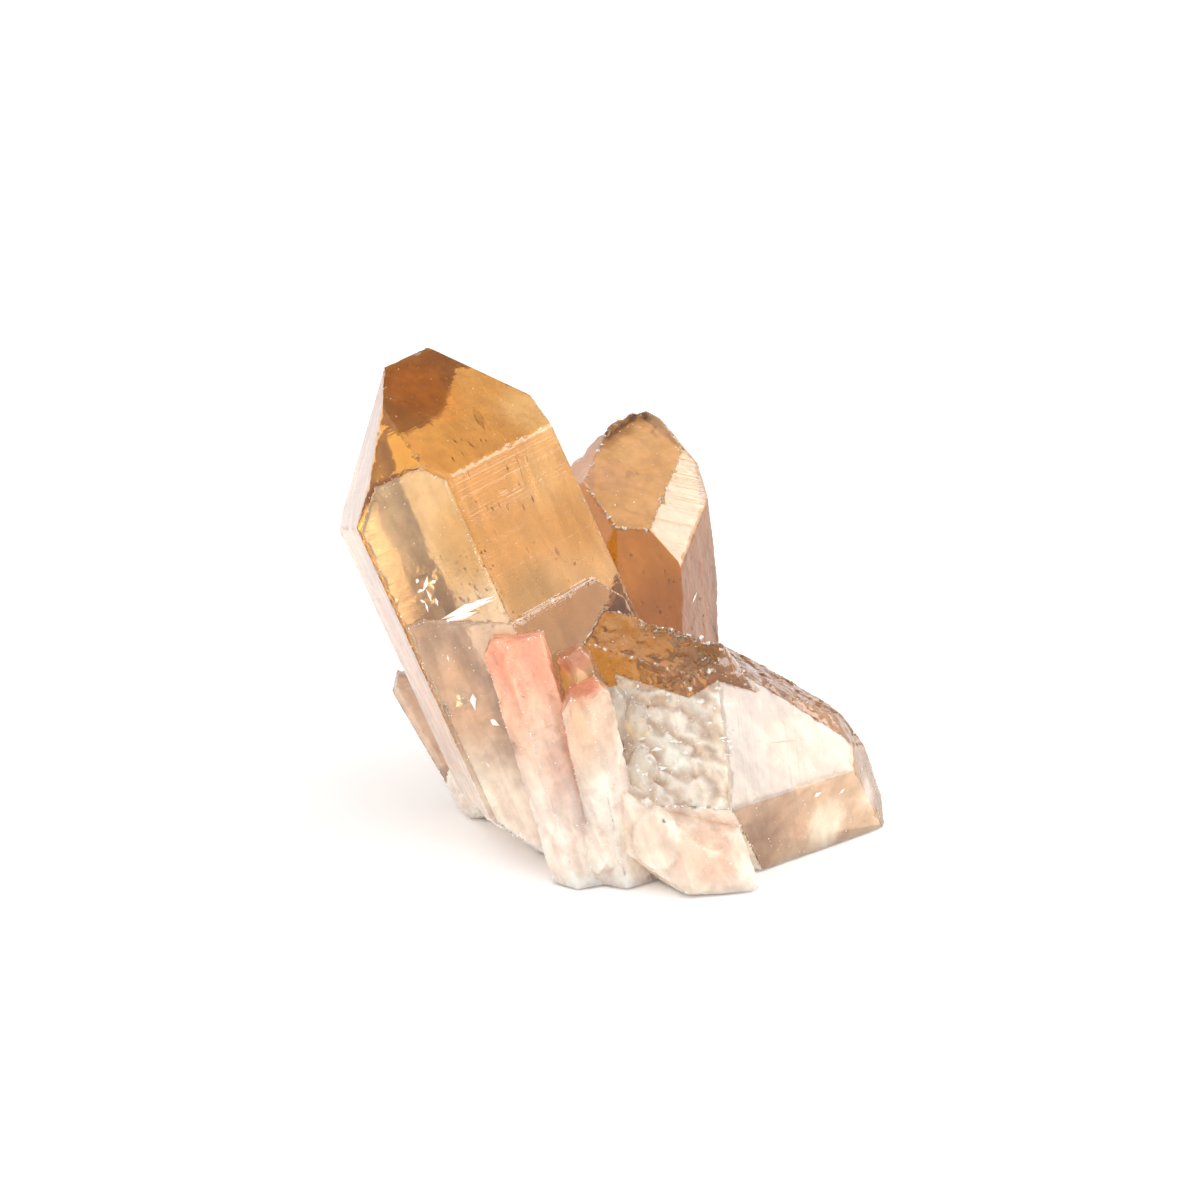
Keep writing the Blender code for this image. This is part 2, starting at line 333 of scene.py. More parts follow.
def fissure(bm, middle, normal, long, width, length, seed):
    """A thin wavy gap inside the quartz, closed round its rim, whose walls mirror the light."""
    rng = random.Random(seed)
    normal = Vector(normal).normalized()
    along = (Vector(long) - normal * normal.dot(Vector(long))).normalized()
    across = normal.cross(along)
    centre = Vector(middle) - MIDDLE
    shift = Vector([rng.uniform(0, 50) for _ in range(3)])
    rings, turns = 5, 18
    sheets = []
    for side in (1, -1):
        rows = []
        for r in range(rings + 1):
            row = []
            for t in range(turns):
                if r == rings and side < 0:
                    row.append(sheets[0][rings][t])
                    continue
                if r == 0 and t > 0:
                    row.append(row[0])
                    continue
                angle = 2 * math.pi * t / turns
                reach = (r / rings) * (0.72 + 0.5 * noise.noise(shift + Vector((math.cos(angle), math.sin(angle), 0)) * 1.3))
                x, y = reach * math.cos(angle) * length, reach * math.sin(angle) * width
                wave = 0.16 * min(width, 2.0) * noise.noise(shift + Vector((x, y, 0)) * 0.7)
                gap = 0.03 * (1 - (r / rings) ** 2) * side
                row.append(bm.verts.new((centre + along * x + across * y + normal * (wave + gap)) * MM))
            rows.append(row)
        sheets.append(rows)
    owner = bm.faces.layers.int["owner"]
    for side, rows in zip((1, -1), sheets):
        for r in range(rings):
            for t in range(turns):
                u = (t + 1) % turns
                ring = [rows[r][t], rows[r + 1][t], rows[r + 1][u], rows[r][u]]
                for three in ((0, 1, 2), (0, 2, 3)):
                    corners = [ring[i] for i in three]
                    if len(set(corners)) < 3:
                        continue
                    if side > 0:
                        corners.reverse()
                    bm.faces.new(corners)[owner] = FISSURE


# The small bits: clear chips, white flecks, rusty grains; some white chips and flecks paint highlights, sparkles and
# glints. Each has a tint, how cloudy it is and how rough.
CHIP_AND_GLINT, VEIL_AND_HIGHLIGHT, RUST = 0, 1, 2
BIT_LOOKS = (((1.0, 0.95, 0.88), 0.75, 0.03), ((1.0, 0.96, 0.90), 1.0, 0.25), ((0.36, 0.13, 0.04), 1.0, 0.4))


def crumb(bm, rng, middle, out, size, look, long=None, stretch=1.0):
    """A small angular bit with eight faces, set on or in the quartz."""
    out = Vector(out).normalized()
    side = Vector(long) if long else Vector([rng.uniform(-1, 1) for _ in range(3)])
    side = (side - out * out.dot(side)).normalized()
    across = out.cross(side)
    tips = []
    for way, reach in ((side, size * stretch), (across, size), (out, size * 0.8)):
        for sign in (1, -1):
            jitter = Vector([rng.uniform(-0.25, 0.25) * size for _ in range(3)])
            tips.append(bm.verts.new(middle + (way * sign * reach * rng.uniform(0.6, 1.1) + jitter) * MM))
    bit_look = bm.faces.layers.int["look"]
    for a in (0, 1):
        for b in (2, 3):
            for c in (4, 5):
                corners = [tips[a], tips[b], tips[c]]
                if (a + b + c) % 2:
                    corners.reverse()
                bm.faces.new(corners)[bit_look] = look


# Small bits along the sharp edges: the crystals, the faces or None for all, how many a millimetre, the sizes, the look.
EDGE_BITS = (
    # On the main plate's edges these white bits paint a beaded highlight line.
    (("main_plate",), None, 4.0, 0.06, 0.12, VEIL_AND_HIGHLIGHT),
    (("main_step",), None, 1.5, 0.07, 0.18, CHIP_AND_GLINT),
    (("main",), None, 0.3, 0.07, 0.18, CHIP_AND_GLINT),
    (("second",), (CAP + 3, CAP + 2, CAP + 4), 2.2, 0.10, 0.42, CHIP_AND_GLINT),
    (("valley_ridge",), None, 1.6, 0.10, 0.34, CHIP_AND_GLINT),
    (("valley_ridge",), None, 0.4, 0.12, 0.30, RUST),
    (("lying",), (FACET + 1, CAP + 2, SIDE + 3), 1.5, 0.09, 0.30, CHIP_AND_GLINT),
    (("front_pink", "front_blunt", "valley_green"), None, 1.0, 0.08, 0.20, VEIL_AND_HIGHLIGHT),
    (("front_plate", "root"), None, 0.7, 0.08, 0.24, VEIL_AND_HIGHLIGHT),
    (("valley_clear", "valley_low", "valley_shard"), None, 1.5, 0.08, 0.26, CHIP_AND_GLINT),
)
# Small bits over the faces: the crystals, the faces or None for all, how many a square millimetre, sizes, look.
FACE_BITS = (
    (("main", "main_step"), (SIDE + 1,), 0.55, 0.07, 0.18, VEIL_AND_HIGHLIGHT),
    (("main", "main_plate"), (SIDE + 2, CAP + 2, CAP + 1, SIDE + 1), 0.12, 0.06, 0.13, VEIL_AND_HIGHLIGHT),
    (("main_plate",), None, 0.45, 0.05, 0.16, VEIL_AND_HIGHLIGHT),
    (("second",), (CAP + 3,), 0.45, 0.06, 0.22, VEIL_AND_HIGHLIGHT),
    (("second",), (SIDE + 3, SIDE + 4), 0.06, 0.06, 0.15, VEIL_AND_HIGHLIGHT),
    (("lying",), (SIDE + 3,), 1.5, 0.08, 0.22, CHIP_AND_GLINT),
    (("lying",), (SIDE + 3,), 0.9, 0.08, 0.20, VEIL_AND_HIGHLIGHT),
    (("lying",), (CAP + 4,), 0.40, 0.07, 0.22, VEIL_AND_HIGHLIGHT),
    (("lying",), (CAP + 3,), 0.08, 0.05, 0.12, VEIL_AND_HIGHLIGHT),
    (("front_pink", "front_blunt"), None, 0.40, 0.07, 0.20, VEIL_AND_HIGHLIGHT),
    (("front_pink",), None, 0.08, 0.05, 0.11, RUST),
    (("valley_ridge",), None, 0.5, 0.08, 0.22, CHIP_AND_GLINT),
    (("root", "front_plate"), None, 0.25, 0.08, 0.24, VEIL_AND_HIGHLIGHT),
)
# Single slivers and lines: the middle, the way out, the long way, the half length, the half width and the look.
PLATE_OUT = (-0.23, -0.96, 0.12)
BREAK_OUT = (0.62, -0.76, -0.17)
SLIVERS = (
    ((-15.4, -16.1, 28.0), PLATE_OUT, (7.3, -1.3, 3.3), 4.3, 0.50, VEIL_AND_HIGHLIGHT),
    ((-15.9, -16.0, 27.2), PLATE_OUT, (7.3, -1.3, 2.9), 3.5, 0.42, VEIL_AND_HIGHLIGHT),
    ((-14.2, -16.3, 28.9), PLATE_OUT, (7.3, -1.3, 3.4), 2.6, 0.22, VEIL_AND_HIGHLIGHT),
    ((-14.9, -16.3, 26.4), PLATE_OUT, (5.3, -0.8, 1.4), 1.6, 0.16, VEIL_AND_HIGHLIGHT),
    ((-16.9, -15.9, 26.0), PLATE_OUT, (5.3, -0.8, 1.2), 1.2, 0.14, VEIL_AND_HIGHLIGHT),
    ((-14.8, -17.6, 18.5), PLATE_OUT, (-0.4, -0.3, 1.2), 1.1, 0.35, VEIL_AND_HIGHLIGHT),
    ((-12.6, -18.4, 16.3), PLATE_OUT, (1.0, 0.0, -0.5), 0.8, 0.35, VEIL_AND_HIGHLIGHT),
    ((-17.9, -16.6, 17.9), PLATE_OUT, (-0.4, -0.2, 1.2), 1.3, 0.14, VEIL_AND_HIGHLIGHT),
    ((-17.0, -16.8, 18.9), PLATE_OUT, (-0.7, -0.1, 1.0), 1.0, 0.12, VEIL_AND_HIGHLIGHT),
    # The next small white slivers paint golden sparkles beside the fissures below the plate.
    ((-19.8, -14.9, 30.4), PLATE_OUT, (0.3, 0.0, 1.0), 0.9, 0.30, VEIL_AND_HIGHLIGHT),
    ((-20.3, -14.8, 29.6), PLATE_OUT, (1.0, 0.0, 0.4), 0.6, 0.28, VEIL_AND_HIGHLIGHT),
    ((-19.4, -15.0, 29.2), PLATE_OUT, (0.5, 0.0, -1.0), 0.8, 0.22, VEIL_AND_HIGHLIGHT),
    ((-19.7, -15.0, 27.9), PLATE_OUT, (0.4, 0.0, -1.0), 0.7, 0.18, VEIL_AND_HIGHLIGHT),
    ((-18.9, -15.2, 30.8), PLATE_OUT, (1.0, 0.0, 0.8), 0.5, 0.26, VEIL_AND_HIGHLIGHT),
    ((-20.6, -14.7, 30.7), PLATE_OUT, (0.2, 0.0, 1.0), 0.5, 0.20, VEIL_AND_HIGHLIGHT),
    ((-20.1, -14.9, 28.5), PLATE_OUT, (1.0, 0.0, -0.6), 0.4, 0.20, VEIL_AND_HIGHLIGHT),
    ((-18.6, -15.3, 28.6), PLATE_OUT, (0.4, 0.0, -1.0), 0.5, 0.16, VEIL_AND_HIGHLIGHT),
    ((21.6, -16.9, 7.2), BREAK_OUT, (0.5, 0.5, 0.3), 0.6, 0.28, VEIL_AND_HIGHLIGHT),
    ((24.4, -14.4, 6.6), BREAK_OUT, (0.5, 0.5, 0.4), 0.6, 0.20, VEIL_AND_HIGHLIGHT),
    # This white sliver on the second crystal paints a glint.
    ((9.0, 4.3, 21.9), (0.93, -0.30, 0.20), (0.8, 3.3, 1.0), 1.4, 0.15, CHIP_AND_GLINT),
    ((17.4, -16.5, 13.2), (0.51, -0.62, 0.60), (0.104, 0.07, -0.017), 4.6, 0.025, RUST),
    ((14.6, -18.2, 13.8), (0.51, -0.62, 0.60), (0.104, 0.05, -0.03), 1.3, 0.025, RUST),
    ((17.9, -14.6, 14.8), (0.51, -0.62, 0.60), (0.104, -0.04, -0.12), 1.2, 0.02, RUST),
    ((-19.5, -6.0, 45.2), (0.25, -0.35, 0.90), (0.8, -0.3, -0.3), 0.9, 0.10, RUST),
    ((-16.7, -8.8, 43.4), (0.25, -0.35, 0.90), (1.3, -0.9, -0.7), 0.9, 0.07, VEIL_AND_HIGHLIGHT),
    ((-11.9, -1.9, 44.9), (0.25, -0.35, 0.90), (1.0, 0.2, -0.2), 1.1, 0.05, RUST),
    ((-14.2, -0.9, 45.9), (0.25, -0.35, 0.90), (1.0, 0.3, -0.2), 0.8, 0.05, RUST),
)


def bits(bm, made_bm):
    """Scatters crumbs along the sharp edges and over the faces, the same way in each run."""
    owner, kind = bm.faces.layers.int["owner"], bm.faces.layers.int["kind"]
    rng = random.Random(7)
    faces, edges = bm.faces[:], [e for e in bm.edges if e.seam]
    made = []
    for names, kinds, density, low, high, look in EDGE_BITS:
        owners = {(NAMES + ["root"]).index(name) for name in names}
        for e in edges:
            if not any(f[owner] in owners and (kinds is None or f[kind] in kinds) for f in e.link_faces):
                continue
            if rng.random() < density * e.calc_length() / MM:
                spot = e.verts[0].co.lerp(e.verts[1].co, rng.random())
                made.append((spot, e.verts[0].normal.copy(), low + (high - low) * rng.random() ** 2, look))
    for names, kinds, density, low, high, look in FACE_BITS:
        owners = {(NAMES + ["root"]).index(name) for name in names}
        for f in faces:
            if f[owner] in owners and (kinds is None or f[kind] in kinds):
                if rng.random() < density * f.calc_area() / MM ** 2:
                    spot = f.verts[0].co.lerp(f.verts[1].co, rng.random()).lerp(f.verts[2].co, rng.random() * 0.6)
                    made.append((spot, f.normal.copy(), low + (high - low) * rng.random() ** 2, look))
    for spot, out, size, look in made:
        if spot.z > 0.3 * MM:
            crumb(made_bm, rng, spot - out * 0.4 * size * MM, out, size, look)
    for middle, out, long, length, width, look in SLIVERS:
        crumb(made_bm, rng, Vector(middle) * MM, out, width, look, long, length / width)


# Veils and stains inside: the crystal, its face, depth below it, across, height, bits, long way, size, look.
INNER = (
    ("main_step", 1, (0.0, 1.0), (-5.5, 5.0), (5.0, 26.0), 130, 5.0, (0.07, 0.20), VEIL_AND_HIGHLIGHT),
    ("main_step", 1, (0.4, 2.0), (-5.5, 5.0), (6.0, 27.0), 60, 3.0, (0.12, 0.35), VEIL_AND_HIGHLIGHT),
    ("main", 1, (0.1, 1.5), (-4.5, 4.5), (27.0, 36.0), 70, 2.5, (0.06, 0.18), RUST),
    ("main", 1, (0.1, 1.5), (-4.5, 4.5), (27.0, 36.0), 70, 2.5, (0.06, 0.20), VEIL_AND_HIGHLIGHT),
    ("main", 2, (0.5, 3.5), (-5.0, 5.0), (34.0, 52.0), 22, 5.0, (0.08, 0.20), RUST),
    ("main", 2, (0.5, 3.0), (-5.0, 5.0), (26.0, 48.0), 26, 4.0, (0.08, 0.22), VEIL_AND_HIGHLIGHT),
    ("second", 3, (0.5, 3.0), (-4.0, 4.0), (20.0, 34.0), 14, 3.0, (0.08, 0.20), VEIL_AND_HIGHLIGHT),
    ("lying", 3, (-0.1, 0.8), (-3.0, 7.0), (-18.0, -2.0), 70, 3.5, (0.10, 0.32), VEIL_AND_HIGHLIGHT),
    ("lying", 3, (-0.1, 0.6), (-3.0, 7.0), (-18.0, -2.0), 50, 3.0, (0.10, 0.40), CHIP_AND_GLINT),
)


def inner_bits(bm):
    """Sets veils and stains inside the clear quartz, drawn out along each crystal's axis."""
    rng = random.Random(11)
    for name, k, depths, acrosses, heights, count, stretch, sizes, look in INNER:
        place, turn = standing(CRYSTALS[name]), math.radians(60 * k)
        planes = flat_faces(CRYSTALS[name])
        out, side = Vector((math.cos(turn), math.sin(turn), 0)), Vector((-math.sin(turn), math.cos(turn), 0))
        axis = (place.to_3x3() @ Vector((0, 0, 1))).normalized()
        for _ in range(count):
            away = CRYSTALS[name]["sides"][k] - rng.uniform(*depths)
            spot = out * away + side * rng.uniform(*acrosses) + Vector((0, 0, rng.uniform(*heights)))
            lean = axis + Vector([rng.uniform(-0.25, 0.25) for _ in range(3)])
            size, drawn = rng.uniform(*sizes), rng.uniform(1.0, stretch)
            if outside(planes, spot) < 0.15:
                crumb(bm, rng, place @ spot, place.to_3x3() @ out, size, look, lean, drawn)


def inside_box(bm):
    """Keeps every vertex within the CAD model's box."""
    low, high = CAD_BOX
    for v in bm.verts:
        for axis in range(3):
            v.co[axis] = min(max(v.co[axis], low[axis]), high[axis])


# How each crystal looks where no face of its own is named: the tint, how cloudy it is, how rough and how rugged.
OWNER_LOOKS = {
    "main": dict(tint=(0.74, 0.36, 0.09), cloud=0.12, rough=0.06, rugged=0.0, etch=0.08),
    "main_plate": dict(tint=(0.93, 0.70, 0.42), cloud=0.30, rough=0.06, rugged=0.0, etch=0.12),
    "main_step": dict(tint=(0.88, 0.66, 0.47), cloud=0.34, rough=0.07, rugged=0.0, etch=0.2),
    "second": dict(tint=(0.48, 0.17, 0.02), cloud=0.12, rough=0.05, rugged=0.0, etch=0.10),
    "lying": dict(tint=(0.70, 0.42, 0.20), cloud=0.22, rough=0.10, rugged=0.06, etch=0.3),
    "front_pink": dict(tint=(0.95, 0.60, 0.44), cloud=0.68, rough=0.08, rugged=0.24, etch=0.35),
    "front_blunt": dict(tint=(0.95, 0.70, 0.53), cloud=0.66, rough=0.08, rugged=0.24, etch=0.35),
    "valley_ridge": dict(tint=(0.70, 0.40, 0.18), cloud=0.14, rough=0.03, rugged=0.40, etch=0.2),
    "valley_shard": dict(tint=(0.97, 0.86, 0.72), cloud=0.50, rough=0.04, rugged=0.25, etch=0.5),
    "valley_green": dict(tint=(0.74, 0.50, 0.27), cloud=0.35, rough=0.06, rugged=0.06, etch=0.3),
    "valley_clear": dict(tint=(0.97, 0.86, 0.72), cloud=0.50, rough=0.04, rugged=0.30, etch=0.5),
    "valley_low": dict(tint=(0.97, 0.86, 0.72), cloud=0.55, rough=0.04, rugged=0.30, etch=0.5),
    "front_plate": dict(tint=(0.98, 0.80, 0.66), cloud=0.85, rough=0.10, rugged=0.10, etch=0.3),
    "left_back": dict(tint=(0.76, 0.52, 0.36), cloud=0.35, rough=0.10, rugged=0.05, etch=0.3),
    "root": dict(tint=(1.0, 0.84, 0.72), cloud=0.82, rough=0.12, rugged=0.45, etch=0.4),
    "fissure": dict(tint=(0.99, 0.93, 0.80), cloud=0.04, rough=0.03, rugged=0.0, etch=0.05),
    "cut": dict(tint=(1.0, 0.86, 0.74), cloud=0.90, rough=0.40, rugged=0.0, etch=0.6),
}
# Single flat faces that look different from the rest of their crystal.
FACE_LOOKS = {
    ("main", CAP + 1): dict(tint=(1.0, 0.46, 0.02)),
    # The pale grey on the main crystal's two grazing left faces is a painted reflection.
    ("main", SIDE + 0): dict(tint=(0.80, 0.68, 0.58), cloud=0.40, rough=0.10),
    ("main", CAP + 0): dict(tint=(0.80, 0.68, 0.58), cloud=0.40, rough=0.10),
    ("main_step", SIDE + 2): dict(tint=(0.40, 0.17, 0.05), cloud=0.14),
    # This face's whiteness is partly the key light's real reflection and partly a painted reflection in its pale tint.
    ("lying", CAP + 3): dict(tint=(0.96, 0.85, 0.75), cloud=0.42, rough=0.03, etch=0.0, rugged=0.0),
    ("lying", SIDE + 3): dict(tint=(1.0, 0.88, 0.75), cloud=0.58, rough=0.03, etch=0.4, rugged=0.55),
    ("lying", CAP + 4): dict(tint=(0.86, 0.62, 0.44), cloud=0.38, rough=0.10, etch=0.3, rugged=0.05),
    ("lying", CAP + 2): dict(tint=(0.42, 0.17, 0.04), cloud=0.30, rough=0.12, rugged=0.40),
    ("lying", FACET + 1): dict(tint=(0.50, 0.22, 0.06), cloud=0.28, rough=0.10, rugged=0.22),
    ("lying", FACET + 2): dict(tint=(0.44, 0.20, 0.07), cloud=0.30, rough=0.14, rugged=0.22),
    ("second", FACET + 0): dict(tint=(0.80, 0.60, 0.40), cloud=0.30, rough=0.03, etch=0.0),
    ("second", CAP + 3): dict(tint=(0.86, 0.56, 0.32), cloud=0.34, rough=0.10, etch=0.3),
    ("second", SIDE + 4): dict(tint=(0.30, 0.12, 0.04), cloud=0.40, rough=0.30, etch=0.8, rugged=0.12),
}
# Soft patches of another colour: the crystals, the middle, how far it reaches, the tint, the cloud and the share.
PATCHES = (
    (("main",), (-9.0, 0.2, 44.8), 5.0, (0.94, 0.68, 0.34), 0.16, 0.65),
    (("main",), (-8.0, -5.5, 39.0), 4.5, (0.86, 0.56, 0.22), 0.16, 0.50),
    (("main",), (-8.4, -13.8, 28.8), 5.5, (0.42, 0.20, 0.04), 0.14, 0.85),
    (("main",), (-20.5, -1.5, 47.5), 6.0, (0.90, 0.30, 0.02), 0.20, 0.75),
    (("main",), (-4.2, -5.2, 34.2), 4.5, (0.50, 0.22, 0.03), 0.10, 0.70),
    (("main_plate",), (-15.0, -15.2, 35.4), 5.5, (0.66, 0.40, 0.15), 0.22, 0.75),
    (("main", "main_plate"), (-19.0, -14.8, 28.8), 5.5, (0.64, 0.42, 0.24), 0.22, 0.60),
    (("second",), (-0.5, 12.5, 33.0), 4.0, (0.80, 0.48, 0.34), 0.40, 0.60),
    (("second",), (2.6, 24.3, 37.0), 2.2, (0.22, 0.12, 0.07), 0.15, 0.85),
    (("second",), (0.6, 21.8, 36.4), 2.2, (0.26, 0.13, 0.07), 0.15, 0.80),
    (("second",), (-1.4, 19.2, 35.7), 2.2, (0.34, 0.17, 0.10), 0.20, 0.75),
    (("second",), (5.6, 0.1, 22.0), 6.0, (0.26, 0.07, 0.01), 0.10, 0.80),
    (("front_plate",), (10.5, -27.0, 4.3), 5.0, (0.98, 0.66, 0.50), 0.70, 0.70),
    (("lying",), (14.5, -21.0, 4.0), 5.5, (0.60, 0.40, 0.27), 0.24, 0.60),
    (("lying",), (23.0, -15.0, 3.0), 3.6, (1.0, 0.88, 0.70), 0.75, 0.85),
    (("lying",), (27.0, -10.0, 5.0), 3.0, (1.0, 0.88, 0.72), 0.70, 0.70),
)


def face_look(owner, kind):
    name = (NAMES + ["root", "cut", "fissure"])[owner]
    return {**OWNER_LOOKS[name], **FACE_LOOKS.get((name, kind), {})}


def paint(mesh):
    """Writes what the material reads: tint, cloudiness, roughness, etching and the height up each crystal."""
    count = len(mesh.polygons)
    owner, kind = np.zeros(count, int), np.zeros(count, int)
    mesh.attributes["owner"].data.foreach_get("value", owner)
    mesh.attributes["kind"].data.foreach_get("value", kind)
    corners = np.zeros(len(mesh.loops), int)
    mesh.loops.foreach_get("vertex_index", corners)
    spots = np.zeros(len(mesh.vertices) * 3)
    mesh.vertices.foreach_get("co", spots)
    spots = spots.reshape(-1, 3) / MM
    looks = {key: face_look(*key) for key in set(zip(owner.tolist(), kind.tolist()))}
    keys = list(zip(owner.tolist(), kind.tolist()))
    per_face = {
        what: np.array([looks[key][what] for key in keys]) for what in ("tint", "cloud", "rough", "etch")
    }
    p = spots[corners]
    corner_owner, corner_kind = np.repeat(owner, 3), np.repeat(kind, 3)
    tint = np.repeat(per_face["tint"], 3, axis=0)
    cloud = np.repeat(per_face["cloud"], 3)
    rough = np.repeat(per_face["rough"], 3)
    etch = np.repeat(per_face["etch"], 3)
    along = np.zeros(len(p))
    for n, name in enumerate(NAMES):
        spec = CRYSTALS[name]
        back = standing(spec).inverted().to_3x3() * MM
        foot = np.array(Vector(spec["foot"]) - MIDDLE)
        mine = corner_owner == n
        along[mine] = ((p[mine] - foot) @ np.array(back).T)[:, 2]
    wander = np.array([noise.noise(Vector(q) * 0.16) for q in spots])[corners]

    def towards(colour, share):
        share = np.clip(share, 0, 1)[:, None]
        tint[:] = tint * (1 - share) + np.array(colour) * share

    def of(*names):
        return np.isin(corner_owner, [NAMES.index(name) for name in names]).astype(float)

    big = of("main", "main_step", "main_plate")
    right = np.isin(corner_kind, (SIDE + 2, SIDE + 3, CAP + 2, CAP + 3)) * 12.0
    low = big * (1 - smooth(21, 33, along + 5 * wander + right))
    towards((0.84, 0.63, 0.46), low)
    milky = big * (1 - smooth(4, 20, along + 5 * wander))
    towards((1.0, 0.82, 0.68), milky)
    cloud[:] = np.clip(cloud + 0.06 * low + 0.45 * milky, 0, 0.95)
    rough[:] = rough + 0.06 * milky + 0.02 * low
    etch[:] = np.clip(etch + 0.3 * milky + 0.15 * low, 0, 1)
    tip = big * 0.80 * smooth(52, 60, along + 3 * wander)
    towards((0.74, 0.21, 0.01), tip)
    cloud[:] = cloud + 0.1 * tip
    pale = of("front_pink", "front_blunt") * (1 - smooth(8, 18, along + 4 * wander))
    towards((1.0, 0.88, 0.79), 0.75 * pale)
    cloud[:] = cloud + 0.12 * pale
    broken = of("lying") * (corner_kind == SIDE + 3)
    arcs = np.sin(2 * np.pi * np.array([ripple_turns(Vector(q)) for q in spots]))[corners]
    towards((0.60, 0.40, 0.26), broken * 0.4 * smooth(0.2, 0.95, arcs))
    cloud[:] = np.clip(cloud + 0.2 * broken * smooth(-0.2, -0.9, arcs), 0, 0.95)
    pink = of("front_pink") * smooth(16, 25, along + 4 * wander)
    pink += of("front_blunt") * smooth(19.5, 21.5, along + 2 * wander)
    pink += of("valley_green") * smooth(22.8, 24.2, along + 2 * wander)
    towards((0.99, 0.40, 0.25), pink * 0.92)
    for names, middle, reach, colour, mist, most in PATCHES:
        away = np.linalg.norm(p - np.array(middle), axis=1) + 1.2 * wander
        share = of(*names) * most * (1 - smooth(0.35 * reach, reach, away))
        towards(colour, share)
        cloud[:] = cloud * (1 - share) + mist * share
    for name, values, kind_of in (
        ("cloud", cloud, "FLOAT"), ("rough", rough, "FLOAT"), ("etch", etch, "FLOAT"), ("along", along, "FLOAT")
    ):
        mesh.attributes.new(name, kind_of, "CORNER").data.foreach_set("value", values.astype(np.float32))
    rgba = np.ones((len(p), 4), np.float32)
    rgba[:, :3] = tint
    mesh.attributes.new("tint", "FLOAT_COLOR", "CORNER").data.foreach_set("color", rgba.ravel())


def flecked(small):
    """The small bits as one mesh, with what its material reads."""
    inside_box(small)
    mesh = bpy.data.meshes.new("citrine_flecks")
    small.to_mesh(mesh)
    small.free()
    look = np.zeros(len(mesh.polygons), int)
    mesh.attributes["look"].data.foreach_get("value", look)
    look = np.repeat(look, 3)
    rgba = np.array([bit[0] + (1.0,) for bit in BIT_LOOKS], np.float32)[look]
    mesh.attributes.new("tint", "FLOAT_COLOR", "CORNER").data.foreach_set("color", rgba.ravel())
    for n, name in ((1, "cloud"), (2, "rough")):
        values = np.array([bit[n] for bit in BIT_LOOKS], np.float32)[look]
        mesh.attributes.new(name, "FLOAT", "CORNER").data.foreach_set("value", values)
    obj = bpy.data.objects.new("citrine_flecks", mesh)
    bpy.context.scene.collection.objects.link(obj)
    return obj


def dressed(small):
    bm = bmesh.new()
    bm.from_mesh(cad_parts["citrine_cluster"].data)
    bmesh.ops.remove_doubles(bm, verts=bm.verts, dist=1e-6)
    name_faces(bm)
    split_long_edges(bm)
    relief(bm)
    bm.normal_update()
    bits(bm, small)
    inner_bits(small)
    inside_box(bm)
    for n, (middle, normal, long, width, length) in enumerate(FISSURES):
        fissure(bm, middle, normal, long, width, length, n)
    for face in bm.faces:
        face.smooth = True
    mesh = bpy.data.meshes.new("citrine_crystals")
    bm.to_mesh(mesh)
    bm.free()
    paint(mesh)
    mesh.set_sharp_from_angle(angle=math.radians(22))
    obj = bpy.data.objects.new("citrine_crystals", mesh)
    bpy.context.scene.collection.objects.link(obj)
    return obj


def place_camera():
    cam = bpy.data.objects.new("camera", bpy.data.cameras.new("camera"))
    bpy.context.scene.collection.objects.link(cam)
    cam.data.lens = 100
    cam.data.sensor_width = 36
    cam.data.clip_start, cam.data.clip_end = 0.01, 20
    target = Vector((-0.0015, -0.0049, 0.0250))
    rise = math.radians(20)
    out = Vector((0, -math.cos(rise), math.sin(rise)))
    cam.location = target + 0.36 * out
    cam.rotation_mode = "QUATERNION"
    cam.rotation_quaternion = (-out).to_track_quat("-Z", "Y")
    bpy.context.scene.camera = cam


def soft_light(name, towards, away, width, height, radiance, side):
    """A rectangular soft light that faces the cluster, with its width along side."""
    out = Vector(towards).normalized()
    across = Vector(side)
    across = (across - out * across.dot(out)).normalized()
    up = out.cross(across)
    lamp = bpy.data.lights.new(name, "AREA")
    lamp.shape = "RECTANGLE"
    lamp.size, lamp.size_y = width, height
    lamp.energy = radiance * math.pi * width * height
    obj = bpy.data.objects.new(name, lamp)
    bpy.context.scene.collection.objects.link(obj)
    obj.matrix_world = Matrix.Translation(Vector((0, 0, 0.025)) + out * away) @ Matrix(
        (across, up, out)
    ).transposed().to_4x4()
    return obj


